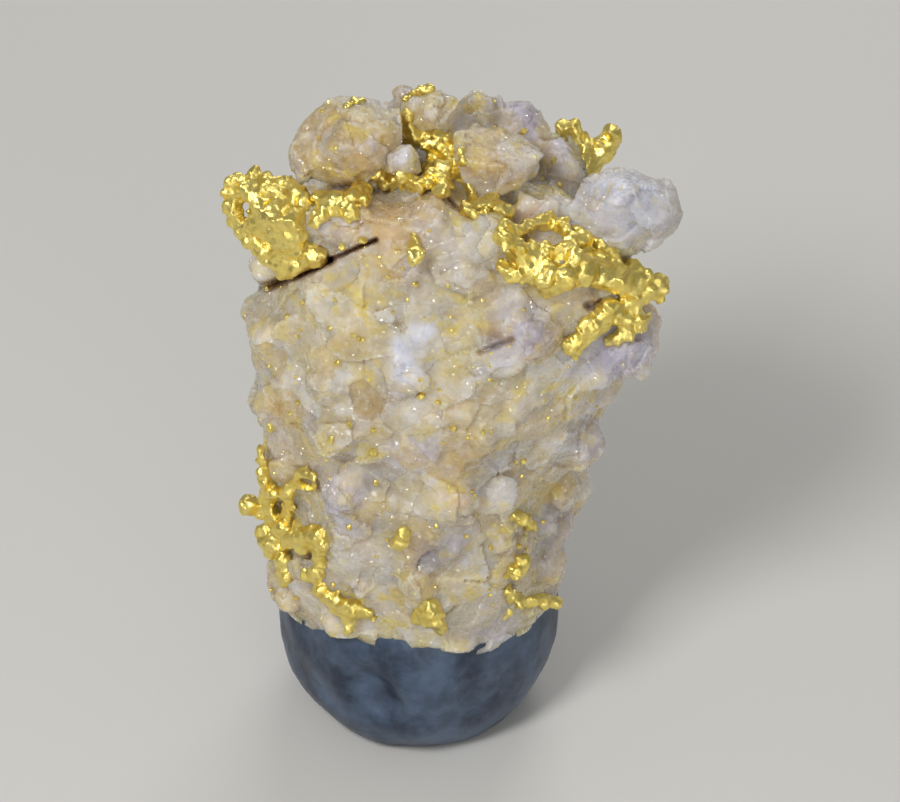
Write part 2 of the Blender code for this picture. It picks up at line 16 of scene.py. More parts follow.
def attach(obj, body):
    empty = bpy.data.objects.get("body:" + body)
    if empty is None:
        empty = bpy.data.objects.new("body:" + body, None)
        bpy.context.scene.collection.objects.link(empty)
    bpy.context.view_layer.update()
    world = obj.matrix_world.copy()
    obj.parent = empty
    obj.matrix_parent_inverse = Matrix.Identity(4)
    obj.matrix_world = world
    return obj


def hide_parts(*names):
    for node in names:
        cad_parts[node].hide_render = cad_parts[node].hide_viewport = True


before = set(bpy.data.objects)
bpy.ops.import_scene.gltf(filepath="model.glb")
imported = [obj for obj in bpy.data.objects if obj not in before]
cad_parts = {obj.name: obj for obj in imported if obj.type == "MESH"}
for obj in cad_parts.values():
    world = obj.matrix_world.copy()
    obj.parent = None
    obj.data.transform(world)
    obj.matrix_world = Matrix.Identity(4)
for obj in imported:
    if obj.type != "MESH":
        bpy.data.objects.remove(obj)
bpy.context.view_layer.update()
MM = 0.001
GOLD_NODES = sorted(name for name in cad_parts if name.startswith("gold_"))

# %% [markdown]
# ## The drawing
# Places on the specimen are read from one drawing of its broad side, 900 steps across and 802 down.
# It is seen from 40 degrees above the horizon and from 260 mm away. The camera stands at the same spot, so that a
# place on the drawing and the same place in the picture are one.

# %% The drawing and the camera
DRAWING_WIDTH, DRAWING_HEIGHT = 900, 802
STEP = 20.8 / 462
VIEW_RISE = math.radians(40)
VIEW_DISTANCE = 260
VIEW_MIDDLE = Vector((1.5, 0, 17.0))
TOWARDS_EYE = Vector((0, -math.cos(VIEW_RISE), math.sin(VIEW_RISE)))
UP_THE_DRAWING = Vector((0, math.sin(VIEW_RISE), math.cos(VIEW_RISE)))
EYE = VIEW_MIDDLE + VIEW_DISTANCE * TOWARDS_EYE


def sight(across, down):
    """The direction from the eye through a place on the drawing."""
    right = (across - DRAWING_WIDTH / 2) * STEP
    up = (DRAWING_HEIGHT / 2 - down) * STEP
    return (VIEW_MIDDLE + Vector((right, 0, 0)) + up * UP_THE_DRAWING - EYE).normalized()


def seen(across, down, back):
    """The point in metres that the drawing shows at a place, lying this many mm back along +Y."""
    ray = sight(across, down)
    return (EYE + ray * ((back - EYE.y) / ray.y)) * MM


def drawn(points):
    """Where points in metres lie on the drawing, as rows of (across, down)."""
    away = np.asarray(points) / MM - np.array(EYE)
    depth = away @ np.array(-TOWARDS_EYE)
    across = DRAWING_WIDTH / 2 + away[:, 0] / depth * VIEW_DISTANCE / STEP
    down = DRAWING_HEIGHT / 2 - away @ np.array(UP_THE_DRAWING) / depth * VIEW_DISTANCE / STEP
    return np.stack((across, down), 1)


bpy.ops.object.camera_add(location=EYE * MM)
camera = bpy.context.object
camera.rotation_euler = (-TOWARDS_EYE).to_track_quat("-Z", "Y").to_euler()
camera.data.sensor_width = 36
camera.data.lens = 36 * VIEW_DISTANCE / (DRAWING_WIDTH * STEP)
camera.data.clip_start = 0.01
camera.data.clip_end = 3
bpy.context.scene.camera = camera
print("lens", round(camera.data.lens), "eye in mm", [round(v) for v in EYE])

# %% [markdown]
# ## Hand tools
# A few helpers stand for what a hand would do over and over: pick one object, apply one modifier, join pieces.
# The CAD solids are made of loose triangles, so a copy is merged before it is worked on.


# %% Hand tools
def pick_only(obj):
    bpy.ops.object.select_all(action="DESELECT")
    obj.select_set(True)
    bpy.context.view_layer.objects.active = obj


def apply_modifier(obj, kind, **settings):
    """Adds one modifier with its settings and applies it."""
    pick_only(obj)
    modifier = obj.modifiers.new(kind.lower(), kind)
    for name, value in settings.items():
        setattr(modifier, name, value)
    bpy.ops.object.modifier_apply(modifier=modifier.name)


def add_mesh(name, mesh):
    obj = bpy.data.objects.new(name, mesh)
    bpy.context.scene.collection.objects.link(obj)
    return obj


def merged_copy(node, name):
    """A copy of a CAD solid with its triangles joined at their corners."""
    obj = add_mesh(name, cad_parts[node].data.copy())
    obj.data.materials.clear()
    pick_only(obj)
    bpy.ops.object.mode_set(mode="EDIT")
    bpy.ops.mesh.select_all(action="SELECT")
    bpy.ops.mesh.remove_doubles(threshold=1e-6)
    bpy.ops.object.mode_set(mode="OBJECT")
    return obj


def join_into(obj, others):
    pick_only(obj)
    for other in others:
        other.select_set(True)
    bpy.ops.object.join()
    return obj


def melt(obj, grid):
    """Runs everything in an object together into one skin on a grid of this many mm."""
    apply_modifier(obj, "REMESH", mode="VOXEL", voxel_size=grid * MM)


def swell(obj, amount):
    """Moves the skin out along its normals by this many mm, or in."""
    apply_modifier(obj, "DISPLACE", strength=amount * MM, mid_level=0)


def count_triangles(obj):
    obj.data.calc_loop_triangles()
    return len(obj.data.loop_triangles)


def thin_to(obj, triangles):
    """Leaves about this many triangles, where the shape needs them most."""
    apply_modifier(obj, "DECIMATE", ratio=min(1, triangles / count_triangles(obj)))


def corner_array(mesh):
    corners = np.empty(len(mesh.vertices) * 3)
    mesh.vertices.foreach_get("co", corners)
    return corners.reshape(-1, 3)


def tree_of(obj):
    return BVHTree.FromPolygons([v.co for v in obj.data.vertices], [p.vertices for p in obj.data.polygons])


# %% [markdown]
# ## The rock, first rough
# The CAD quartz has a socket round each mass of gold, wider than the gold by a small gap. On the real specimen the
# quartz closes on the gold. So the gold is let into the quartz a little smaller than it is, and the whole is swollen
# and shrunk by the same amount: a gap that closes while it is swollen stays closed.

# %% Close the sockets
GOLD_SUNK = 0.14
CLOSING = 0.26
ROUGH_GRID = 0.13
# Shrunk this much more than it was swollen, to leave room for the grains.
ROUGH_SPARE = 0.05

gold_under_skin = []
for node in GOLD_NODES:
    core = merged_copy(node, "core")
    swell(core, -GOLD_SUNK)
    gold_under_skin.append(core)
rock = join_into(merged_copy("quartz", "quartz_rock"), gold_under_skin)
melt(rock, ROUGH_GRID)
swell(rock, CLOSING)
melt(rock, ROUGH_GRID)
swell(rock, -CLOSING - ROUGH_SPARE)
melt(rock, ROUGH_GRID)
print("rough rock", count_triangles(rock), "triangles")

# %% [markdown]
# ## Chiselled grains
# Vein quartz breaks into grains with flat faces and blunt corners. A few grains are chiselled: a ball is
# cut by one plane after another. Each is then copied many times over the rock, turned and sized by chance, and the
# skin is melted over them. Sculpting each one would take days, and a noise pattern alone gives no flat faces.

# %% Chisel a few grains
grain_chance = random.Random(31)


def random_direction(chance):
    height = chance.uniform(-1, 1)
    angle = chance.uniform(0, 2 * math.pi)
    ring = math.sqrt(1 - height * height)
    return Vector((ring * math.cos(angle), ring * math.sin(angle), height))


def chiselled_grain(roundness, cuts):
    """The corners and faces of a ball of radius 1 that planes have cut flat all round."""
    bpy.ops.mesh.primitive_ico_sphere_add(subdivisions=roundness, radius=1)
    ball = bpy.context.object
    bpy.ops.object.mode_set(mode="EDIT")
    for _ in range(cuts):
        away = random_direction(grain_chance)
        spot = away * grain_chance.uniform(0.62, 0.82)
        bpy.ops.mesh.select_all(action="SELECT")
        bpy.ops.mesh.bisect(plane_co=spot, plane_no=away, use_fill=True, clear_outer=True)
    bpy.ops.object.mode_set(mode="OBJECT")
    corners = [v.co.copy() for v in ball.data.vertices]
    faces = [list(p.vertices) for p in ball.data.polygons]
    bpy.data.objects.remove(ball)
    return corners, faces


grains = [chiselled_grain(2, 11) for _ in range(6)]
crumb_shapes = [chiselled_grain(1, 3) for _ in range(4)]
print("faces of the grains", [len(faces) for _, faces in grains], "and crumbs", [len(f) for _, f in crumb_shapes])


# %% Strew copies over a surface
def strewn(name, models, places):
    """One object of many copies. A place is (middle in metres, three half sizes in mm, turn, model number)."""
    corners, faces = [], []
    for middle, half_sizes, turn, which in places:
        put = Matrix.LocRotScale(middle, turn, Vector(half_sizes) * MM)
        start = len(corners)
        corners += [put @ corner for corner in models[which][0]]
        faces += [[start + i for i in face] for face in models[which][1]]
    mesh = bpy.data.meshes.new(name)
    mesh.from_pydata(corners, [], faces)
    return add_mesh(name, mesh)


def random_spots(obj, number, chance):
    """Points spread evenly by area over a mesh, each with the normal there."""
    areas = np.array([p.area for p in obj.data.polygons])
    steps = np.cumsum(areas) / areas.sum()
    spots = []
    for _ in range(number):
        polygon = obj.data.polygons[int(np.searchsorted(steps, chance.random()))]
        spots.append((polygon.center.copy(), polygon.normal.copy()))
    return spots


def random_turn(chance):
    return Euler([chance.uniform(0, 2 * math.pi) for _ in range(3)])


gold_skin = join_into(merged_copy(GOLD_NODES[0], "gold_skin"), [merged_copy(n, "part") for n in GOLD_NODES[1:]])
gold_tree = tree_of(gold_skin)
bpy.data.objects.remove(gold_skin)

# The open crack under the left nugget stays free of grains.
OPEN_CRACK = [(250, 291), (270, 286), (300, 273), (330, 260), (352, 250), (376, 240)]
CRACK_CLEARANCE = 14
# Sets of grains: how many, smallest and largest half size in mm, share that is sunk.
GRAIN_SETS = [(320, 0.6, 1.2, 0.86), (420, 0.22, 0.45, 0.74)]
# The big smooth lumps carry no grains: middle on the drawing and radius in steps.
SMOOTH_LUMPS = [(345, 142, 58), (500, 162, 44), (433, 111, 32), (627, 208, 64), (404, 160, 22), (536, 335, 26)]


def distance_to_line(places, line):
    """How far each place on the drawing is from a line of straight stretches, in steps of the drawing."""
    best = np.full(len(places), 1e9)
    for start, end in zip(line, line[1:]):
        start, along = np.array(start, float), np.array(end, float) - np.array(start, float)
        part = np.clip((places - start) @ along / (along @ along), 0, 1)
        best = np.minimum(best, np.linalg.norm(places - start - part[:, None] * along, axis=1))
    return best


def grain_places(obj, number, smallest, largest, sunk, chance):
    places = []
    for spot, normal in random_spots(obj, number, chance):
        size = smallest + (largest - smallest) * chance.random() ** 1.6
        half_sizes = [size * chance.uniform(0.7, 1.25) for _ in range(3)]
        turn, which = random_turn(chance), chance.randrange(len(grains))
        nearest = gold_tree.find_nearest(spot)
        crowds_gold = nearest[3] < (size * 0.6 + 0.1) * MM
        in_crack = distance_to_line(drawn([spot]), OPEN_CRACK)[0] < CRACK_CLEARANCE and normal.y < 0.5
        on_lump = any(math.dist(drawn([spot])[0], lump[:2]) < lump[2] for lump in SMOOTH_LUMPS)
        if not crowds_gold and not in_crack and not on_lump:
            places.append((spot - normal * size * sunk * MM, half_sizes, turn, which))
    return places


# The crystals that catch the eye, each the hull of corners read from the drawing: (across, down, back).
CRYSTALS = {
    "right crown wedge": [
        (455, 130, 0.6), (480, 127, 1.2), (512, 133, 1.4), (536, 148, 0.8), (547, 154, -0.2), (532, 165, -0.9),
        (523, 184, -1.1), (500, 196, -1.4), (475, 197, -1.3), (462, 182, -1.2), (456, 160, -0.9), (500, 166, -1.6),
        (470, 150, 2.4), (510, 150, 2.6), (500, 190, 1.5)],
    "white tooth": [
        (385, 170, -1.2), (390, 156, -1.1), (399, 147, -0.8), (411, 144, -0.8), (420, 155, -1.0), (424, 172, -1.2),
        (406, 180, -1.6), (403, 160, -2.0), (400, 170, 1.0), (412, 168, 1.0)],
    "left crown lump": [
        (290, 166, 0.2), (288, 153, 0.6), (297, 132, 1.0), (313, 111, 1.4), (328, 99, 1.6), (352, 99, 1.8),
        (380, 98, 1.6), (400, 110, 1.0), (405, 130, 0.2), (398, 152, -0.6), (384, 172, -1.0), (362, 186, -1.3),
        (338, 189, -1.2), (315, 184, -0.8), (300, 176, -0.4), (332, 148, -1.5), (365, 150, -1.6), (345, 122, -0.8),
        (385, 130, -0.6), (350, 150, 3.0)],
    "middle crown lump": [
        (404, 104, 2.4), (412, 94, 2.8), (430, 88, 2.8), (449, 97, 2.6), (461, 108, 2.4), (463, 119, 2.0),
        (455, 132, 1.4), (430, 134, 1.0), (408, 126, 1.2), (435, 110, 0.8), (430, 110, 4.0)],
    "lilac crystal": [
        (511, 331, -4.6), (525, 314, -4.4), (548, 311, -4.2), (563, 325, -4.0), (560, 346, -4.4), (540, 360, -5.2),
        (517, 352, -5.3), (536, 333, -6.0), (530, 340, -3.4)],
    "saddle crystal": [
        (516, 206, -1.2), (522, 195, -1.0), (532, 197, -1.0), (536, 208, -1.2), (526, 214, -1.8), (526, 204, 0.4)],
    "second saddle crystal": [
        (540, 206, -1.0), (545, 195, -0.8), (556, 197, -0.8), (558, 208, -1.0), (548, 213, -1.6), (549, 204, 0.6)],
    "grey chunk": [
        (478, 470, -4.4), (498, 461, -4.2), (528, 466, -3.8), (533, 488, -3.9), (512, 516, -4.6), (486, 508, -5.2),
        (504, 486, -5.6), (505, 490, -3.0)],
    "pale ledge": [
        (430, 246, -3.4), (465, 236, -3.2), (500, 262, -3.6), (506, 286, -4.2), (470, 300, -5.0), (436, 284, -5.0),
        (426, 262, -4.2), (465, 266, -5.2), (465, 270, -2.4)],
    "cream ledge": [
        (306, 366, -4.2), (330, 352, -4.2), (352, 372, -4.6), (346, 402, -5.4), (318, 408, -5.4), (302, 390, -4.8),
        (328, 380, -5.9), (328, 384, -3.2)],
    "lower lip": [
        (266, 560, -1.2), (268, 586, -1.6), (283, 607, -2.4), (300, 621, -3.1), (322, 635, -4.0), (345, 646, -4.8),
        (374, 654, -5.3), (400, 658, -5.6), (440, 663, -5.7), (470, 657, -5.4), (495, 648, -4.9), (531, 626, -3.5),
        (553, 603, -2.2), (568, 568, -1.2), (300, 560, -4.6), (360, 570, -5.8), (430, 580, -6.3), (500, 575, -5.4),
        (550, 560, -2.2), (300, 600, 0.5), (540, 590, 0.5)],
    "pale lump top": [
        (568, 206, -1.0), (580, 184, -0.2), (604, 167, 0.6), (634, 169, 0.6), (658, 180, 0.2), (676, 194, -0.4),
        (686, 214, -0.8), (680, 232, -1.2), (658, 246, -1.6), (640, 255, -2.0), (618, 258, -2.2), (590, 242, -2.0),
        (574, 224, -1.6), (613, 177, -1.0), (633, 190, -2.2), (617, 200, -2.7), (645, 214, -2.4), (625, 205, 1.8)],
}


def hull_of(name, corners):
    """The hull of corners read from the drawing, as by wrapping a sheet tight round them."""
    mesh = bpy.data.meshes.new(name)
    mesh.from_pydata([seen(*corner) for corner in corners], [], [])
    hull = add_mesh(name, mesh)
    pick_only(hull)
    bpy.ops.object.mode_set(mode="EDIT")
    bpy.ops.mesh.select_all(action="SELECT")
    bpy.ops.mesh.convex_hull()
    bpy.ops.object.mode_set(mode="OBJECT")
    return hull


for number, smallest, largest, sunk in GRAIN_SETS:
    places = grain_places(rock, number, smallest, largest, sunk, grain_chance)
    rock = join_into(rock, [strewn("grains", grains, places)])
    print("grains strewn", len(places))
rock = join_into(rock, [hull_of(name, corners) for name, corners in CRYSTALS.items()])
FINE_GRID = 0.09
melt(rock, FINE_GRID)
apply_modifier(rock, "SMOOTH", factor=0.5, iterations=6)
print("fine rock", count_triangles(rock), "triangles")

# %% [markdown]
# ## Chips
# Each broken face is made of flat chips that lean their own way, with small steps between them. The skin is divided
# into cells, and each cell is tilted and lifted a little. The cells' middles are kept for the colours, because a chip
# that catches air behind it looks frosty, and its neighbour can be clear.

# %% Chip the skin
# Each set of chips: width in mm, tilt, step in mm.
CHIPS = [(1.6, 0.14, 0.03), (0.5, 0.09, 0.008)]
# No chip lifts by more than this share of its width.
LIFT_LIMIT = 0.25
# Far enough from a cell for its chance numbers not to be tied to where its middle lies.
FAR_CELL = Vector((31.7, 17.3, 5.9))


def cell_at(point, width):
    """The middle of the cell round a point, and three chance numbers from 0 to 1 that belong to the cell."""
    middle = noise.voronoi(point / (width * MM))[1][0]
    return middle * width * MM, noise.cell_vector(middle + FAR_CELL)


def chip_skin(obj):
    normals = [v.normal.copy() for v in obj.data.vertices]
    for width, tilt, step in CHIPS:
        limit = LIFT_LIMIT * width * MM
        for vert, normal in zip(obj.data.vertices, normals):
            middle, chance = cell_at(vert.co, width)
            lean = (vert.co - middle).dot(chance * 2 - Vector((1, 1, 1))) * tilt
            lift = (chance.x + chance.y - 1) * step * MM
            vert.co += normal * max(-limit, min(limit, lean + lift))
    obj.data.update()


chip_skin(rock)

# %% [markdown]
# ## Cracks
# A dark crack gapes under the left nugget, thinner ones follow the gold band, and the nugget has a hollow at its
# left. They are pressed into the skin along the line of sight, as a sculptor's tool would. A Boolean would cut as
# well, but leaves splinters in a skin that is as rough as this.

# %% Press the cracks in
# Each crack: its line on the drawing, half width in steps of the drawing, depth in mm.
CRACKS = [
    (OPEN_CRACK[:4], 5, 1.5),
    (OPEN_CRACK[3:], 3, 0.7),
    ([(330, 188), (350, 186), (372, 190), (386, 191)], 4, 0.5),
    ([(422, 190), (433, 190), (447, 198), (455, 206), (473, 216)], 4, 0.6),
    ([(588, 306), (600, 304), (611, 308)], 6, 0.5),
    ([(480, 352), (496, 345), (512, 340)], 5, 0.35),
    ([(241, 207), (244, 219)], 8, 0.9),
]
# Only skin this close behind the first skin on the line of sight is pressed, in mm.
SIGHT_DEPTH = 2.5
# A crack reaches this many half widths, and its walls are this steep.
CRACK_REACH = 1.6
CRACK_STEEPNESS = 1.5


def press_cracks(obj):
    corners = corner_array(obj.data)
    places = drawn(corners)
    skin = tree_of(obj)
    for line, half_width, depth in CRACKS:
        away = distance_to_line(places, line)
        for i in np.nonzero(away < half_width * CRACK_REACH)[0]:
            point = Vector(corners[i])
            ray = (point - EYE * MM).normalized()
            first = skin.ray_cast(EYE * MM, ray)[0]
            if first is not None and (point - first).length < SIGHT_DEPTH * MM:
                share = math.exp(-((away[i] / half_width * CRACK_STEEPNESS) ** 2))
                corners[i] += np.array(ray) * depth * share * MM
    obj.data.vertices.foreach_set("co", corners.ravel())
    obj.data.update()


press_cracks(rock)
ROCK_TRIANGLES = 190000
thin_to(rock, ROCK_TRIANGLES)
pick_only(rock)
bpy.ops.object.shade_smooth_by_angle(angle=math.radians(28))
print("rock", count_triangles(rock), "triangles")

# %% [markdown]
# ## Gold
# Native gold is soft and grew into the seams: lumps run together, with dents and folds between them. Each mass
# starts from its CAD solid, gets crumbs on its skin, is melted on a fine grid, and is pushed about by two patterns:
# cells for the crumbly lumps and clouds for the folds.


# %% Work the gold
def pattern(name, kind, size, **settings):
    """A built-in pattern for the Displace modifier, its features about this many mm across."""
    texture = bpy.data.textures.new(name, kind)
    texture.noise_scale = size * MM
    for key, value in settings.items():
        setattr(texture, key, value)
    return texture


lumps = pattern("lumps", "VORONOI", 0.42)
folds = pattern("folds", "CLOUDS", 0.5, noise_depth=2)
pits = pattern("pits", "CLOUDS", 0.16, noise_depth=1)
GOLD_GRID = 0.06
GOLD_SWOLLEN = 0.05
CRUMBS_PER_MM2 = 1.2
GOLD_TRIANGLES_PER_MM2 = 420
# Lumps read from the drawing: across, down, radius in steps, and how far back in mm where the rock is not behind.
GOLD_LUMPS = {
    "gold_left_nugget": [
        (290, 224, 20, -2.3), (289, 234, 17, -2.4), (284, 214, 14, -2.0),
        (230, 182, 8, -0.5), (227, 192, 8, -0.6), (228, 206, 8, -0.7), (232, 220, 8, -0.9), (239, 232, 8, -1.1),
        (248, 240, 9, -1.3), (238, 178, 7, -0.4), (255, 174, 8, -0.4), (266, 178, 8, -0.6), (276, 183, 8, -0.8),
        (287, 182, 7, -0.8), (245, 188, 9, -0.9), (255, 198, 10, -1.4), (258, 214, 10, -1.7), (252, 226, 10, -1.5),
        (264, 190, 9, -1.3), (274, 192, 9, -1.4), (284, 194, 8, -1.4), (295, 193, 8, -1.3), (303, 200, 8, -1.7),
        (310, 212, 8, -2.0), (312, 226, 7, -2.2), (258, 247, 9, -1.6), (268, 256, 9, -1.8), (280, 264, 10, -2.2),
        (294, 266, 10, -2.5), (305, 262, 9, -2.6), (313, 255, 10, -2.7), (321, 254, 8, -2.7), (300, 250, 10, -2.6)],
    "gold_left_seam": [
        (318, 196, 7), (325, 205, 8), (322, 215, 7), (315, 222, 6), (335, 198, 9), (345, 204, 9), (351, 212, 8),
        (352, 196, 9), (361, 190, 9), (363, 200, 7), (338, 212, 7)],
    "gold_centre_seam": [
        (378, 174, 8), (384, 183, 8), (392, 178, 10), (402, 175, 8), (412, 181, 9), (418, 187, 8), (390, 186, 7),
        (405, 188, 6), (408, 118, 6), (411, 128, 8), (416, 136, 9), (425, 136, 9), (435, 136, 8), (445, 140, 8),
        (438, 146, 9), (428, 146, 8), (446, 154, 9), (432, 164, 7), (431, 173, 7), (442, 170, 11), (442, 179, 8),
        (449, 162, 7), (461, 152, 6), (463, 162, 6), (458, 172, 7), (442, 191, 8), (450, 186, 5), (470, 186, 6),
        (472, 198, 6), (480, 205, 7), (490, 203, 9), (498, 208, 8), (466, 209, 6), (474, 215, 6), (506, 213, 6),
        (485, 212, 6)],
    "gold_right_sheet": [
        (503, 237, 7), (507, 244, 7), (510, 252, 7), (517, 231, 7), (527, 226, 7), (537, 222, 6), (550, 218, 7),
        (563, 221, 7), (576, 228, 7), (587, 237, 8), (600, 243, 8), (611, 250, 9), (520, 247, 9), (533, 246, 8),
        (546, 249, 8), (560, 250, 8), (572, 249, 8), (587, 252, 9), (580, 241, 8), (513, 259, 7), (522, 258, 8),
        (501, 268, 5), (509, 273, 6), (517, 276, 7), (535, 256, 8), (546, 260, 9), (560, 261, 9), (574, 258, 9),
        (590, 260, 9), (603, 259, 9), (616, 262, 9), (527, 269, 14), (544, 273, 17), (547, 287, 8), (565, 275, 16),
        (584, 272, 16), (602, 275, 16), (618, 279, 16), (634, 271, 9), (634, 286, 14), (645, 278, 10),
        (648, 290, 9), (660, 281, 10), (663, 289, 7), (640, 296, 11), (632, 306, 11), (620, 308, 11),
        (609, 305, 9), (603, 313, 13), (593, 321, 13), (584, 330, 11), (577, 341, 9), (570, 348, 8), (575, 356, 6),
        (564, 343, 4), (626, 318, 8), (640, 320, 7), (648, 317, 4), (638, 328, 7), (629, 336, 7), (617, 340, 7),
        (607, 341, 5), (625, 327, 7)],
    "gold_back_branch": [
        (563, 127, 9, 4.7), (574, 127, 9, 4.6), (569, 136, 9, 4.6), (579, 142, 11, 4.4), (586, 152, 13, 4.1),
        (583, 166, 13, 3.7), (593, 166, 10, 3.8), (595, 149, 11, 4.3), (603, 142, 11, 4.5), (612, 131, 9, 4.7),
        (612, 143, 10, 4.5), (606, 154, 10, 4.2), (586, 178, 10, 3.4)],
    "gold_drop": [(414, 236, 4), (415, 245, 5), (415, 255, 9), (413, 259, 7)],
    "gold_lower_left_cluster": [
        (261, 450, 4), (262, 459, 6), (262, 472, 7), (264, 484, 7), (248, 505, 11), (258, 506, 7), (267, 499, 9),
        (261, 514, 7), (275, 493, 8), (288, 490, 7), (289, 500, 7), (292, 506, 6), (270, 508, 8), (276, 518, 8),
        (283, 528, 13), (275, 539, 10), (261, 533, 8), (265, 543, 8), (271, 554, 8), (300, 524, 9), (304, 538, 12),
        (317, 535, 10), (323, 546, 8), (317, 554, 8), (321, 529, 6), (284, 562, 9), (287, 573, 10), (285, 581, 7),
        (308, 574, 9), (316, 572, 11), (321, 587, 11), (328, 594, 9), (337, 601, 10), (348, 608, 12), (358, 608, 8),
        (367, 614, 6), (373, 618, 4), (348, 620, 8), (347, 630, 6), (334, 584, 4), (338, 592, 4), (320, 563, 6)],
    "gold_lower_middle_grain": [(404, 534, 9), (397, 543, 7)],
    "gold_bottom_knob": [(431, 611, 13), (438, 623, 9), (421, 608, 7), (428, 602, 7)],
    "gold_right_spur": [
        (508, 592, 4), (511, 598, 7), (519, 601, 8), (531, 601, 8), (543, 603, 7), (556, 604, 7), (509, 612, 5),
        (505, 618, 4)],
    "gold_right_pair": [(524, 562, 8), (516, 573, 7), (511, 568, 5)],
    "gold_right_cluster": [(522, 518, 8), (515, 515, 6), (531, 525, 6)],
    "gold_left_crest": [(346, 106, 5), (354, 103, 6), (362, 102, 5)],
    "gold_middle_crest": [(405, 99, 4), (414, 93, 5), (422, 90, 5), (429, 88, 6)],
}
LUMP_SUNK = 0.3


def surface_area(obj):
    return sum(p.area for p in obj.data.polygons) / MM**2


rock_and_gold = join_into(merged_copy("quartz", "rock_and_gold"), [merged_copy(n, "part") for n in GOLD_NODES])
rock_and_gold = join_into(rock_and_gold, [add_mesh("skin", rock.data.copy())])
ground = tree_of(rock_and_gold)
bpy.data.objects.remove(rock_and_gold)


def lump_places(lump_list, chance):
    """Where each lump's middle lies: a little under what the drawing shows there, or at its own depth."""
    found = {}
    for across, down, radius, *back in lump_list:
        ray = sight(across, down)
        hit = ground.ray_cast(EYE * MM, ray)[0]
        if back:
            found[(across, down)] = seen(across, down, back[0])
        elif hit is not None:
            found[(across, down)] = hit + ray * radius * STEP * LUMP_SUNK * MM
    places = []
    for across, down, radius, *back in lump_list:
        spot = found.get((across, down))
        if spot is None:
            near = min(found, key=lambda other: math.dist((across, down), other))
            spot = seen(across, down, found[near].y / MM)
        half_sizes = [radius * STEP * chance.uniform(0.95, 1.25) for _ in range(3)]
        places.append((spot, half_sizes, random_turn(chance), chance.randrange(len(grains))))
    return places


def worked_gold(node, seed):
    chance = random.Random(seed)
    gold = merged_copy(node, node + "_dressed")
    swell(gold, GOLD_SWOLLEN)
    gold = join_into(gold, [strewn("lumps", grains, lump_places(GOLD_LUMPS[node], chance))])
    crumbs = []
    for spot, normal in random_spots(gold, int(surface_area(gold) * CRUMBS_PER_MM2), chance):
        size = chance.uniform(0.1, 0.26)
        crumbs.append((spot - normal * size * 0.35 * MM, [size * chance.uniform(0.7, 1.2) for _ in range(3)],
                       random_turn(chance), chance.randrange(len(grains))))
    gold = join_into(gold, [strewn("crumbs", grains, crumbs)])
    melt(gold, GOLD_GRID)
    apply_modifier(gold, "SMOOTH", factor=0.5, iterations=2)
    for texture, strength, middle in ((lumps, -0.1, 0.3), (folds, 0.12, 0.45), (pits, 0.05, 0.5)):
        apply_modifier(gold, "DISPLACE", texture=texture, texture_coords="LOCAL", strength=strength * MM,
                       mid_level=middle)
    melt(gold, GOLD_GRID)
    thin_to(gold, surface_area(gold) * GOLD_TRIANGLES_PER_MM2)
    pick_only(gold)
    bpy.ops.object.shade_smooth_by_angle(angle=math.radians(40))
    return gold


gold_pieces = {node: worked_gold(node, seed) for seed, node in enumerate(GOLD_NODES)}
for node, piece in gold_pieces.items():
    print(node, count_triangles(piece), "triangles")

# %% [markdown]
# ## The putty
# Mineral putty is a soft wax-like compound that is rolled to a ball between the fingers and pressed flat under the
# rock. A ball is added, its top and its foot are cut away, and it is pushed in where fingers pressed it.

# %% Roll the putty
PUTTY_RADIUS = 6.45
PUTTY_MIDDLE = 4.4
PUTTY_TOP = 8.2

bpy.ops.object.select_all(action="DESELECT")
bpy.ops.mesh.primitive_uv_sphere_add(segments=128, ring_count=72, radius=PUTTY_RADIUS * MM,
                                     location=(0, 0, PUTTY_MIDDLE * MM))
putty = bpy.context.object
putty.name = "putty_ball"
bpy.ops.object.transform_apply(location=True, rotation=True, scale=True)
bpy.ops.object.mode_set(mode="EDIT")
for height, keep_above in ((0, True), (PUTTY_TOP, False)):
    bpy.ops.mesh.select_all(action="SELECT")
    bpy.ops.mesh.bisect(plane_co=(0, 0, height * MM), plane_no=(0, 0, 1), use_fill=True, clear_inner=keep_above,
                        clear_outer=not keep_above)
bpy.ops.object.mode_set(mode="OBJECT")
melt(putty, 0.14)
print("putty", count_triangles(putty), "triangles")

# %% Press the putty with the fingers
# Each press: place on the drawing, radius in mm, depth in mm.
FINGER_PRESSES = [(365, 690, 1.2, 0.9), (385, 712, 0.9, 0.5), (480, 700, 2.2, 0.45), (320, 690, 1.6, 0.35)]
soft_dents = pattern("soft dents", "CLOUDS", 2.6, noise_depth=1)
skin_marks = pattern("skin marks", "CLOUDS", 0.5, noise_depth=2)


def press_putty(obj):
    skin = tree_of(obj)
    corners = corner_array(obj.data)
    for across, down, radius, depth in FINGER_PRESSES:
        spot, normal, *_ = skin.ray_cast(EYE * MM, sight(across, down))
        share = np.exp(-((np.linalg.norm(corners - np.array(spot), axis=1) / (radius * MM)) ** 2))
        corners -= np.outer(share * depth * MM, np.array(normal))
    obj.data.vertices.foreach_set("co", corners.ravel())
    obj.data.update()


press_putty(putty)
apply_modifier(putty, "DISPLACE", texture=soft_dents, texture_coords="LOCAL", strength=0.35 * MM, mid_level=0.5)
apply_modifier(putty, "DISPLACE", texture=skin_marks, texture_coords="LOCAL", strength=0.05 * MM, mid_level=0.5)
corners = corner_array(putty.data)
corners[:, 2] = np.maximum(corners[:, 2], 0)
putty.data.vertices.foreach_set("co", corners.ravel())
thin_to(putty, 40000)
pick_only(putty)
bpy.ops.object.shade_smooth_by_angle(angle=math.radians(50))

# %% [markdown]
# ## Specks of gold
# Beside the masses the quartz is dusted with specks, most of them smaller than half a millimetre. A few crumbs of
# a few dozen faces are copied to every place, the small ones in crowds. The pale lump stays clean.

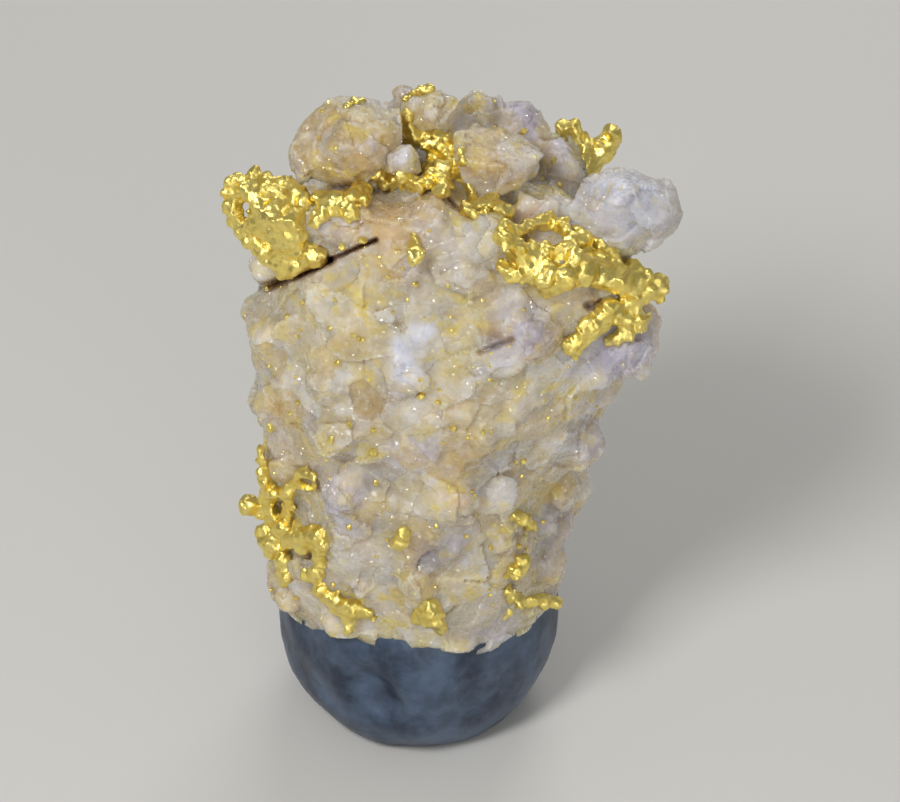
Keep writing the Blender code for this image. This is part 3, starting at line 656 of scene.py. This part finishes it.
# %% Set the specks
# Specks read from the drawing: across, down, half width and half height in mm.
SPECKS = [
    (271, 427, 0.34, 0.22), (331, 440, 0.28, 0.16), (337, 363, 0.2, 0.12), (421, 396, 0.32, 0.22),
    (376, 483, 0.2, 0.16), (349, 527, 0.22, 0.16), (373, 452, 0.3, 0.14), (343, 246, 0.3, 0.24),
    (363, 240, 0.26, 0.22), (523, 131, 0.2, 0.26), (554, 161, 0.22, 0.12), (559, 185, 0.2, 0.14),
    (268, 288, 0.2, 0.2), (523, 461, 0.2, 0.2), (436, 526, 0.18, 0.14), (466, 536, 0.16, 0.12),
    (519, 546, 0.2, 0.14), (296, 598, 0.16, 0.12), (272, 590, 0.16, 0.12), (358, 338, 0.14, 0.1),
    (300, 330, 0.12, 0.1), (452, 330, 0.12, 0.08), (548, 418, 0.16, 0.1), (575, 398, 0.14, 0.1),
    (393, 312, 0.14, 0.1), (335, 300, 0.18, 0.08), (362, 340, 0.16, 0.12), (330, 328, 0.16, 0.12),
    (353, 335, 0.12, 0.1), (295, 377, 0.1, 0.2), (420, 380, 0.14, 0.1), (438, 402, 0.2, 0.12),
    (298, 402, 0.2, 0.14), (290, 413, 0.14, 0.12), (350, 425, 0.24, 0.12), (373, 430, 0.18, 0.12),
    (453, 428, 0.22, 0.16), (468, 438, 0.14, 0.12), (483, 433, 0.18, 0.12), (396, 543, 0.2, 0.14),
    (491, 547, 0.2, 0.12), (543, 522, 0.16, 0.12), (287, 317, 0.2, 0.1), (303, 303, 0.2, 0.12),
    (415, 284, 0.2, 0.16), (402, 268, 0.12, 0.1), (448, 286, 0.14, 0.1), (440, 390, 0.12, 0.1),
]
LOOSE_SPECKS = 2200
rock_tree = tree_of(rock)
speck_chance = random.Random(5)
speck_places = []
for across, down, wide, high in SPECKS:
    spot, normal, *_ = rock_tree.ray_cast(EYE * MM, sight(across, down))
    speck_places.append((spot, (wide, wide * 0.7, high), random_turn(speck_chance), speck_chance.randrange(4)))
for spot, normal in random_spots(rock, LOOSE_SPECKS, speck_chance):
    crowding = noise.noise(spot / MM * 0.45)
    on_pale_lump = math.dist(drawn([spot])[0], SMOOTH_LUMPS[3][:2]) < SMOOTH_LUMPS[3][2]
    if speck_chance.random() < 0.35 + crowding and not on_pale_lump:
        size = 0.03 + 0.11 * speck_chance.random() ** 2.5
        speck_places.append((spot, (size, size * 0.8, size * 0.6), random_turn(speck_chance),
                             speck_chance.randrange(4)))
specks = strewn("gold_specks", crumb_shapes, speck_places)
print("specks", len(speck_places), count_triangles(specks), "triangles")

# %% [markdown]
# ## Colours
# Colours are picked as sRGB hex values and turned to linear light by one function, because shaders reckon in linear.


# %% Colours
def linear(code):
    """An sRGB hex colour as linear red, green and blue."""
    parts = [int(code[i:i + 2], 16) / 255 for i in (1, 3, 5)]
    return tuple(p / 12.92 if p <= 0.04045 else ((p + 0.055) / 1.055) ** 2.4 for p in parts)


# Lilac, smoke and frost are mostly the rock's own tints. A few patches below use lilac and smoke as partly painted
# shade, and frost as partly a painted highlight.
QUARTZ_TINTS = {
    "milk": "#D2C4A2", "honey": "#C6A86E", "straw": "#E0CA6C", "lilac": "#B9B4C6", "frost": "#D9DAE4",
    "amber": "#A07E48", "rose": "#D2AA84", "smoke": "#827A86", "ash": "#ABA490", "rust": "#7E4E34",
}
# Crystals of these tints carry no gold dust.
CLEAN_TINTS = ("frost", "lilac")
# Shares of the chips that are not clear: width of the cells in mm, tint, share, strength.
CHIP_TINTS = [
    (1.6, "frost", 0.16, 0.35), (1.6, "lilac", 0.2, 0.35), (1.6, "honey", 0.22, 0.4), (1.6, "ash", 0.1, 0.3),
    (0.5, "frost", 0.16, 0.35), (0.5, "straw", 0.14, 0.4), (0.5, "amber", 0.08, 0.25), (0.5, "lilac", 0.14, 0.25),
]
# Patches of tint read from the drawing: across, down, radius in steps, tint, strength.
TINT_PATCHES = [
    (345, 140, 60, "honey", 0.75), (352, 178, 20, "amber", 0.5), (375, 120, 18, "straw", 0.5),
    (398, 94, 16, "smoke", 0.8), (404, 160, 18, "frost", 0.8), (490, 160, 44, "honey", 0.5),
    (400, 222, 45, "rose", 0.45), (350, 216, 35, "rose", 0.35), (540, 231, 20, "rose", 0.9),
    (543, 214, 20, "rose", 0.8), (470, 110, 22, "ash", 0.9), (486, 108, 13, "straw", 0.9),
    (522, 115, 30, "lilac", 0.8), (552, 150, 24, "lilac", 0.8), (562, 175, 15, "honey", 0.7),
    (525, 204, 9, "frost", 0.9), (548, 203, 9, "frost", 0.9), (457, 192, 13, "amber", 0.6),
    (452, 163, 10, "lilac", 0.6), (625, 208, 70, "frost", 1.0), (600, 242, 15, "straw", 0.3),
    (300, 310, 50, "straw", 0.35), (360, 300, 40, "straw", 0.3), (535, 336, 30, "lilac", 0.8),
    (496, 334, 15, "amber", 0.8), (476, 519, 13, "amber", 0.7), (466, 461, 24, "amber", 0.45),
    # The smoke patch at the end of this row, low in the middle of the face, is partly painted shade: the purple-grey
    # the face shows where it lies in shadow.
    (503, 490, 32, "frost", 0.6), (460, 500, 14, "rose", 0.5), (433, 553, 24, "smoke", 0.7),
    # The frost patch at 405, 358 whitens the bright crystal in the middle: partly its own white, partly a painted
    # highlight where it sparkles.
    # The lilac patch at the right bulge is partly painted shade: the purple-grey of the face in shadow.
    (625, 348, 48, "lilac", 0.9), (405, 358, 9, "frost", 1.0), (329, 385, 22, "straw", 0.4),
    (276, 377, 8, "smoke", 0.7), (600, 306, 15, "amber", 0.9), (266, 265, 24, "frost", 0.6),
    (590, 430, 36, "lilac", 0.6), (560, 540, 36, "lilac", 0.6), (330, 600, 40, "honey", 0.5),
    (472, 460, 26, "honey", 0.5), (545, 491, 18, "straw", 0.5), (555, 516, 22, "smoke", 0.5),
    (551, 558, 18, "frost", 0.6), (478, 562, 18, "frost", 0.6), (497, 635, 22, "lilac", 0.6),
    (431, 652, 24, "straw", 0.6), (290, 430, 34, "honey", 0.6), (340, 516, 38, "lilac", 0.8),
    # The smoke patch at the end of this row is partly painted shade, low in the middle of the face.
    (360, 562, 28, "frost", 0.6), (267, 585, 16, "rose", 0.6), (425, 555, 16, "smoke", 0.7),
    # The frost patch at 405, 365 is the same bright crystal: partly its own white, partly a painted highlight where
    # it sparkles.
    (325, 388, 26, "frost", 0.5), (405, 365, 18, "frost", 1.0), (422, 337, 10, "frost", 1.0),
    (486, 363, 20, "frost", 0.6), (368, 400, 24, "amber", 0.6), (456, 353, 18, "straw", 0.6),
    (420, 456, 26, "lilac", 0.6), (480, 464, 20, "amber", 0.5), (303, 297, 8, "straw", 1.0),
    (360, 310, 9, "straw", 1.0), (277, 333, 8, "straw", 1.0), (283, 320, 7, "straw", 1.0),
    (438, 524, 9, "straw", 1.0), (368, 453, 9, "straw", 1.0), (400, 575, 10, "straw", 0.8),
]


def paint_quartz(obj):
    """Stores a tint in each corner of the rock: milk all over, then soft-edged patches, chips and stained cracks.

    The fourth number of the colour says how dusty with gold the place is.
    """
    corners = corner_array(obj.data)
    waves = np.array([noise.noise_vector(Vector(c) / MM * 0.9) for c in corners])
    pushed = corners + waves * 0.7 * MM
    tint = np.tile(np.array(linear(QUARTZ_TINTS["milk"])), (len(corners), 1))
    dusty = np.ones((len(corners), 1))
    for across, down, radius, name, strength in TINT_PATCHES:
        spot = rock_tree.ray_cast(EYE * MM, sight(across, down))[0]
        if spot is None:
            print("patch misses the rock", across, down)
            continue
        away = np.linalg.norm(pushed - np.array(spot), axis=1) / (radius * STEP * MM)
        share = strength * np.clip(1.5 - away, 0, 1)[:, None]
        tint = tint * (1 - share) + np.array(linear(QUARTZ_TINTS[name])) * share
        if name in CLEAN_TINTS:
            dusty *= 1 - share
    for width in sorted({width for width, *_ in CHIP_TINTS}):
        shaken = [Vector(c) + noise.noise_vector(Vector(c) / MM * 2.2) * 0.12 * width * MM for c in corners]
        chances = np.array([cell_at(point, width)[1] for point in shaken])
        start = 0
        for chip_width, name, part, strength in CHIP_TINTS:
            if chip_width == width:
                share = ((chances[:, 0] >= start) & (chances[:, 0] < start + part)) * strength
                share = (share * (0.6 + 0.4 * chances[:, 1]))[:, None]
                tint = tint * (1 - share) + np.array(linear(QUARTZ_TINTS[name])) * share
                start += part
    places = drawn(corners)
    for line, half_width, depth in CRACKS:
        share = np.exp(-((distance_to_line(places, line) / half_width) ** 2)) * (corners[:, 1] < 0)
        share = np.minimum(share * depth, 0.8)[:, None]
        tint = tint * (1 - share) + np.array(linear(QUARTZ_TINTS["rust"])) * share
    layer = obj.data.color_attributes.new("tint", "FLOAT_COLOR", "POINT")
    layer.data.foreach_set("color", np.hstack((tint, dusty)).astype(np.float32).ravel())


paint_quartz(rock)


# %% A helper for nodes
def add_node(tree, kind, inputs=(), **settings):
    """Adds a node with its settings. Inputs are (socket, value or output that feeds it)."""
    made = tree.nodes.new("ShaderNode" + kind)
    for name, value in settings.items():
        setattr(made, name, value)
    for socket, value in dict(inputs).items():
        if isinstance(value, bpy.types.NodeSocket):
            tree.links.new(value, made.inputs[socket])
        else:
            made.inputs[socket].default_value = value
    return made


def new_material(name):
    material = bpy.data.materials.new(name)
    material.use_nodes = True
    return material, material.node_tree, material.node_tree.nodes["Principled BSDF"]


def chipped_height(tree, place, size, tilt):
    """A height in metres of flat chips this many mm across, each tilted its own way."""
    cells = add_node(tree, "TexVoronoi", {"Vector": place, "Scale": 1 / (size * MM)})
    from_middle = add_node(tree, "VectorMath", {0: place, 1: cells.outputs["Position"]}, operation="SUBTRACT")
    slope = add_node(tree, "VectorMath", {0: cells.outputs["Color"], 1: (0.5, 0.5, 0.5)}, operation="SUBTRACT")
    height = add_node(tree, "VectorMath", {0: from_middle.outputs[0], 1: slope.outputs[0]}, operation="DOT_PRODUCT")
    scaled = add_node(tree, "Math", {0: height.outputs["Value"], 1: tilt}, operation="MULTIPLY")
    return scaled.outputs[0], cells


# %% [markdown]
# ## Milky vein quartz, broken
# Milky quartz scatters light inside, so shadows fill and edges glow a little. Broken faces are glassy: chips a few
# tenths of a millimetre wide each shine their own way, and the finest ones glint in a thin clear coat. The tint is
# mostly the rock's own, with cloudy mottling in it and the yellow of gold dust. A few purple-grey patches are partly
# painted shade, and the bright crystal in the middle is partly a painted highlight.

# %% Milky vein quartz
quartz_finish, tree, shader = new_material("milky vein quartz, broken")
place = add_node(tree, "TexCoord").outputs["Object"]
stored = add_node(tree, "Attribute", attribute_name="tint")
tint, dusty = stored.outputs["Color"], stored.outputs["Alpha"]
clouds = add_node(tree, "TexNoise", {"Vector": place, "Scale": 1 / (1.6 * MM), "Detail": 5.0, "Roughness": 0.6})
cloudy = add_node(tree, "MapRange", {0: clouds.outputs["Fac"], 1: 0.35, 2: 0.65, 3: 0.8, 4: 1.12})
mottled = add_node(tree, "VectorMath", {0: tint, 3: cloudy.outputs[0]}, operation="SCALE")
veil = add_node(tree, "TexNoise", {"Vector": place, "Scale": 1 / (0.45 * MM), "Detail": 3.0, "Roughness": 0.6})
veiled = add_node(tree, "MapRange", {0: veil.outputs["Fac"], 1: 0.52, 2: 0.72, 3: 0.0, 4: 0.45})
whiter = add_node(tree, "Mix", {0: veiled.outputs[0], 6: mottled.outputs[0], 7: (*linear("#E4E0D8"), 1)},
                  data_type="RGBA")
# Gold dust: crowds of yellow dots under the skin, each with a soft yellow stain round it.
crowds = add_node(tree, "TexNoise", {"Vector": place, "Scale": 1 / (2.6 * MM), "Detail": 2.0})
crowded = add_node(tree, "MapRange", {0: crowds.outputs["Fac"], 1: 0.45, 2: 0.6, 4: dusty})
stains = add_node(tree, "TexNoise", {"Vector": place, "Scale": 1 / (0.7 * MM), "Detail": 3.0})
stained = add_node(tree, "MapRange", {0: stains.outputs["Fac"], 1: 0.5, 2: 0.68, 4: 0.75})
stain_share = add_node(tree, "Math", {0: stained.outputs[0], 1: crowded.outputs[0]}, operation="MULTIPLY")
yellower = add_node(tree, "Mix", {0: stain_share.outputs[0], 6: whiter.outputs[2], 7: (*linear("#DCC65E"), 1)},
                    data_type="RGBA")
dots = add_node(tree, "TexVoronoi", {"Vector": place, "Scale": 1 / (0.4 * MM)})
dot_chance = add_node(tree, "SeparateColor", {0: dots.outputs["Color"]})
dot_radius = add_node(tree, "MapRange", {0: dot_chance.outputs[0], 1: 0.4, 2: 1.0, 3: 0.0, 4: 0.26})
inside = add_node(tree, "Math", {0: dot_radius.outputs[0], 1: dots.outputs["Distance"]}, operation="SUBTRACT")
dot = add_node(tree, "MapRange", {0: inside.outputs[0], 1: 0.0, 2: 0.07})
dot_share = add_node(tree, "Math", {0: dot.outputs[0], 1: crowded.outputs[0]}, operation="MULTIPLY")
dusted = add_node(tree, "Mix", {0: dot_share.outputs[0], 6: yellower.outputs[2], 7: (*linear("#F7E45C"), 1)},
                  data_type="RGBA")
tree.links.new(dusted.outputs[2], shader.inputs["Base Color"])
small, small_cells = chipped_height(tree, place, 0.2, 0.9)
bump = add_node(tree, "Bump", {"Height": small, "Distance": 1.0, "Strength": 0.35})
tree.links.new(bump.outputs[0], shader.inputs["Normal"])
shine = add_node(tree, "MapRange", {0: small_cells.outputs["Color"], 3: 0.2, 4: 0.6})
tree.links.new(shine.outputs[0], shader.inputs["Roughness"])
sparks, _ = chipped_height(tree, place, 0.11, 2.6)
spark_bump = add_node(tree, "Bump", {"Height": sparks, "Distance": 1.0, "Strength": 1.0})
tree.links.new(spark_bump.outputs[0], shader.inputs["Coat Normal"])
shader.inputs["Coat Weight"].default_value = 0.8
shader.inputs["Coat Roughness"].default_value = 0.12
shader.inputs["IOR"].default_value = 1.544
shader.inputs["Subsurface Weight"].default_value = 0.9
shader.inputs["Subsurface Radius"].default_value = (1.0, 0.85, 0.7)
shader.inputs["Subsurface Scale"].default_value = 1.5 * MM

# %% [markdown]
# ## Native gold, as grown
# Native gold holds a little silver. Its skin is satin with bright facets where it touched crystal faces, and
# darker and redder in the folds, where it reflects itself.

# %% Native gold
gold_finish, tree, shader = new_material("native gold, satin")
place = add_node(tree, "TexCoord").outputs["Object"]
cast = add_node(tree, "TexNoise", {"Vector": place, "Scale": 1 / (0.8 * MM), "Detail": 4.0})
tone = add_node(tree, "Mix", {0: cast.outputs["Fac"], 6: (*linear("#F3D766"), 1), 7: (*linear("#FDEE98"), 1)},
                data_type="RGBA")
tree.links.new(tone.outputs[2], shader.inputs["Base Color"])
facets, facet_cells = chipped_height(tree, place, 0.26, 0.55)
grit = add_node(tree, "TexNoise", {"Vector": place, "Scale": 1 / (0.07 * MM), "Detail": 2.0})
grit_height = add_node(tree, "Math", {0: grit.outputs["Fac"], 1: 0.02 * MM}, operation="MULTIPLY")
height = add_node(tree, "Math", {0: facets, 1: grit_height.outputs[0]}, operation="ADD")
bump = add_node(tree, "Bump", {"Height": height.outputs[0], "Distance": 1.0, "Strength": 0.8})
tree.links.new(bump.outputs[0], shader.inputs["Normal"])
satin = add_node(tree, "MapRange", {0: facet_cells.outputs["Color"], 3: 0.26, 4: 0.5})
tree.links.new(satin.outputs[0], shader.inputs["Roughness"])
shader.inputs["Metallic"].default_value = 1

# %% [markdown]
# ## Mineral putty, pressed by hand
# The putty is a dull blue-grey compound with a faint waxy sheen, smudged by the fingers that pressed it.

# %% Mineral putty
putty_finish, tree, shader = new_material("mineral putty, hand pressed")
place = add_node(tree, "TexCoord").outputs["Object"]
smudge = add_node(tree, "TexNoise", {"Vector": place, "Scale": 1 / (2.0 * MM), "Detail": 5.0, "Roughness": 0.6})
smudged = add_node(tree, "MapRange", {0: smudge.outputs["Fac"], 1: 0.36, 2: 0.64})
tone = add_node(tree, "Mix", {0: smudged.outputs[0], 6: (*linear("#212D3F"), 1), 7: (*linear("#4F6179"), 1)},
                data_type="RGBA")
tree.links.new(tone.outputs[2], shader.inputs["Base Color"])
pores = add_node(tree, "TexNoise", {"Vector": place, "Scale": 1 / (0.15 * MM), "Detail": 3.0})
pore_height = add_node(tree, "Math", {0: pores.outputs["Fac"], 1: 0.03 * MM}, operation="MULTIPLY")
bump = add_node(tree, "Bump", {"Height": pore_height.outputs[0], "Distance": 1.0, "Strength": 0.7})
tree.links.new(bump.outputs[0], shader.inputs["Normal"])
shader.inputs["Roughness"].default_value = 0.4

# %% Give each piece its finish and its body
for piece, finish, slot in [(rock, quartz_finish, "quartz"), (putty, putty_finish, "putty"),
                            (specks, gold_finish, "gold")]:
    piece.data.materials.clear()
    piece.data.materials.append(finish)
    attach(piece, "root")
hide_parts("quartz")
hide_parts("putty_foot")
for node, piece in gold_pieces.items():
    piece.data.materials.clear()
    piece.data.materials.append(gold_finish)
    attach(piece, "root")
    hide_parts(node)

# %% [markdown]
# ## Studio
# A plain pale floor and large soft lights: a key from the upper left, a weaker fill, and a rim from behind.

# %% Floor
bpy.ops.object.select_all(action="DESELECT")
bpy.ops.mesh.primitive_plane_add(size=1.2)
floor = bpy.context.object
floor.name = "floor"
floor_finish, tree, shader = new_material("matt paper")
shader.inputs["Base Color"].default_value = (*linear("#D9D7D2"), 1)
shader.inputs["Roughness"].default_value = 0.9
floor.data.materials.append(floor_finish)

# %% Lights
# Each light: place in mm, width in mm, power in watts.
LIGHTS = [("key", (-80, -120, 190), 60, 0.26), ("fill", (60, -190, 60), 140, 0.1), ("rim", (40, 160, 150), 110, 0.12)]
for name, spot, width, power in LIGHTS:
    bpy.ops.object.light_add(type="AREA", location=Vector(spot) * MM)
    lamp = bpy.context.object
    lamp.name = name
    lamp.data.size = width * MM
    lamp.data.energy = power
    lamp.rotation_euler = (VIEW_MIDDLE - Vector(spot)).to_track_quat("-Z", "Y").to_euler()
world = bpy.data.worlds.new("studio")
world.use_nodes = True
world.node_tree.nodes["Background"].inputs["Color"].default_value = (*linear("#FFFFFF"), 1)
world.node_tree.nodes["Background"].inputs["Strength"].default_value = 0.26
bpy.context.scene.world = world
bpy.context.scene.view_settings.view_transform = "Standard"
